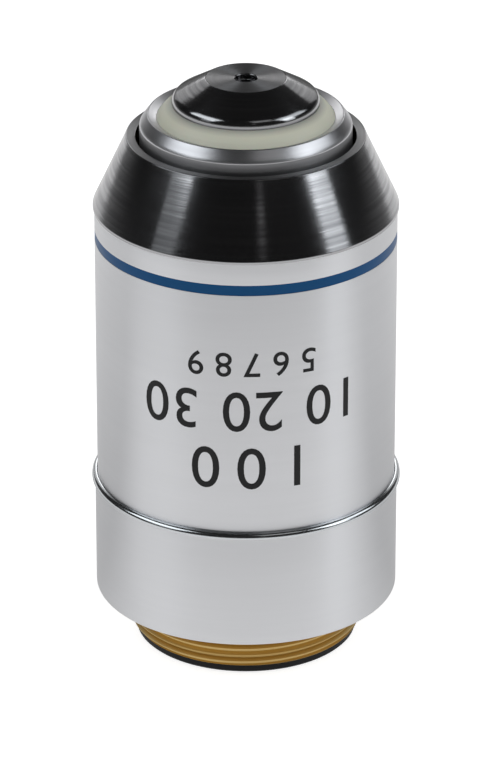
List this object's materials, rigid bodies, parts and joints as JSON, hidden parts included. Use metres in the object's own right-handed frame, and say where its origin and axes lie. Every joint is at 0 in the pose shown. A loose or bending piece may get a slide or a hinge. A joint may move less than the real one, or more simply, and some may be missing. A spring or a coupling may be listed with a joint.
{
  "type": "microscope objective",
  "caption": "Spring-loaded microscope objective with a brass mounting thread, satin sleeves, a blue ring, a dark cone and a nose that slides in against a spring.",
  "frame": {"origin": "on the optical axis, in the plane of the mounting shoulder, at the top of the mounting thread", "axes": "+Z along the optical axis from the mounting thread towards the front lens; X and Y are square to it, with -Y facing the picture's viewer"},
  "size_m": [0.0335, 0.0334, 0.0643],
  "materials": {
    "brass": "turned, bare",
    "satin_silver": "satin",
    "polished_metal": "polished",
    "bright_metal": "turned, bright",
    "dark_chrome": "turned and polished",
    "blue_enamel": "gloss",
    "pale_plastic": "satin",
    "black_metal": "matt black",
    "spring_steel": "drawn wire",
    "screw_steel": "turned",
    "optical_glass": "polished"
  },
  "bodies": {
    "housing": {"mount_tube": "brass", "rear_ring": "black_metal", "base_sleeve": "satin_silver", "bead_ring": "polished_metal", "outer_sleeve": "satin_silver", "blue_band": "blue_enamel", "cone_cap": "dark_chrome", "stop_ring": "brass", "guide_screw": "screw_steel", "return_spring": "spring_steel"},
    "nose": {"inner_barrel": "brass", "nose_collar": "bright_metal", "cushion_ring": "pale_plastic", "nose_cap": "dark_chrome", "front_lens": "optical_glass", "meniscus_lens": "optical_glass", "meniscus_cell": "black_metal", "meniscus_ring": "black_metal", "front_lock_ring": "black_metal", "centring_cell": "black_metal", "centring_screws": "screw_steel", "front_crown_lens": "optical_glass", "front_flint_lens": "optical_glass", "front_spacer": "black_metal", "middle_cell": "black_metal", "middle_crown_lens": "optical_glass", "middle_flint_lens": "optical_glass", "rear_spacer": "black_metal", "rear_cell": "black_metal", "rear_lens": "optical_glass", "lens_lock_ring": "black_metal"}
  },
  "joints": [
    {"name": "nose_retract", "type": "slide", "parent": "housing", "child": "nose", "axis": [0, 0, -1], "range_m": [0, 0.0022], "stiffness_N_per_m": 700, "springref_m": -0.004, "deforming": ["return_spring"]}
  ]
}
